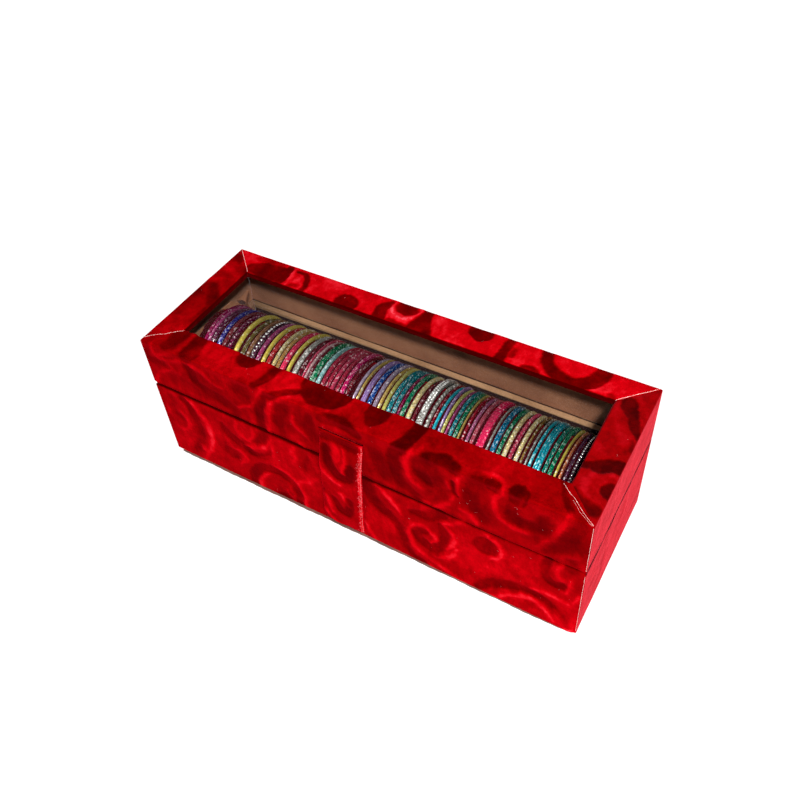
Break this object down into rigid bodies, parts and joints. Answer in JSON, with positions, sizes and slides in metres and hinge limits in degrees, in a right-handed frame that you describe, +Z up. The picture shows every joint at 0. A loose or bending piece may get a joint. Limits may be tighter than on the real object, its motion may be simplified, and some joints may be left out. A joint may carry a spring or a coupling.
{
  "type": "bangle box",
  "caption": "Long red velvet-covered gift box with a clear window in its hinged lid, a fabric closing tab and a padded roll of glittering bangles inside.",
  "frame": {"origin": "middle of the underside of the bottom sheet, at the height of the table", "axes": "+X along the length to the right, -Y is the front with the closing tab, +Z up"},
  "size_m": [0.285, 0.1043, 0.1005],
  "materials": {
    "velvet_red": "red crushed pile with an embossed scroll pattern",
    "greyboard": "plain grey board",
    "beige_paper": "matt beige paper",
    "beige_card": "thick card covered with beige paper",
    "brown_sheet": "grey-brown board",
    "clear_film": "clear thin film",
    "dark_nylon": "hook and loop tape",
    "maroon_velvet": "short dark pile",
    "wadding": "packed wadding",
    "bangle_set_01": "enamelled and glittered metal",
    "bangle_set_02": "enamelled and glittered metal",
    "bangle_set_03": "enamelled and glittered metal",
    "bangle_set_04": "enamelled and glittered metal",
    "bangle_set_05": "enamelled and glittered metal",
    "bangle_set_06": "enamelled and glittered metal",
    "bangle_set_07": "enamelled and glittered metal",
    "bangle_set_08": "enamelled and glittered metal",
    "bangle_set_09": "enamelled and glittered metal",
    "bangle_set_10": "enamelled and glittered metal",
    "bangle_set_11": "enamelled and glittered metal",
    "bangle_set_12": "enamelled and glittered metal",
    "bangle_set_13": "enamelled and glittered metal"
  },
  "bodies": {
    "base": {"bottom_sheet": "brown_sheet", "bottom_board": "greyboard", "floor_lining": "beige_paper", "hinge_cloth": "velvet_red", "cradle_left": "beige_card", "cradle_right": "beige_card", "end_sheet": "beige_paper", "hook_patch": "dark_nylon", "base_board_front": "greyboard", "base_board_back": "greyboard", "base_board_left": "greyboard", "base_board_right": "greyboard", "base_liner_front": "beige_card", "base_liner_back": "beige_card", "base_liner_left": "beige_card", "base_liner_right": "beige_card", "base_velvet_front": "velvet_red", "base_velvet_back": "velvet_red", "base_velvet_left": "velvet_red", "base_velvet_right": "velvet_red"},
    "lid": {"lid_board_front": "greyboard", "lid_board_back": "greyboard", "lid_board_left": "greyboard", "lid_board_right": "greyboard", "lid_velvet_front": "velvet_red", "lid_velvet_back": "velvet_red", "lid_velvet_left": "velvet_red", "lid_velvet_right": "velvet_red", "lid_lining_front": "beige_paper", "lid_lining_back": "beige_paper", "lid_lining_left": "beige_paper", "lid_lining_right": "beige_paper", "frame_board_front": "greyboard", "frame_board_back": "greyboard", "frame_board_left": "greyboard", "frame_board_right": "greyboard", "window_pane": "clear_film", "tab_root": "velvet_red"},
    "tab": {"closure_tab": "velvet_red", "loop_patch": "dark_nylon"},
    "roll": {"roll_core": "wadding", "roll_cover": "maroon_velvet", "roll_end_left": "maroon_velvet", "roll_end_right": "maroon_velvet"},
    "bangles": {"bangle_set_01": "bangle_set_01", "bangle_set_02": "bangle_set_02", "bangle_set_03": "bangle_set_03", "bangle_set_04": "bangle_set_04", "bangle_set_05": "bangle_set_05", "bangle_set_06": "bangle_set_06", "bangle_set_07": "bangle_set_07", "bangle_set_08": "bangle_set_08", "bangle_set_09": "bangle_set_09", "bangle_set_10": "bangle_set_10", "bangle_set_11": "bangle_set_11", "bangle_set_12": "bangle_set_12", "bangle_set_13": "bangle_set_13"}
  },
  "joints": [
    {"name": "lid_hinge", "type": "hinge", "parent": "base", "child": "lid", "pos_m": [0, 0.05, 0.0612], "axis": [-1, 0, 0], "range_deg": [0, 175], "deforming": ["hinge_cloth"]},
    {"name": "tab_fold", "type": "hinge", "parent": "lid", "child": "tab", "pos_m": [0, -0.0521, 0.0845], "axis": [-1, 0, 0], "range_deg": [0, 150]},
    {"name": "roll_lift", "type": "slide", "parent": "base", "child": "roll", "axis": [0, 0, 1], "range_m": [0, 0.006]},
    {"name": "bangle_slide", "type": "slide", "parent": "roll", "child": "bangles", "axis": [1, 0, 0], "range_m": [0, 0.0034]}
  ]
}
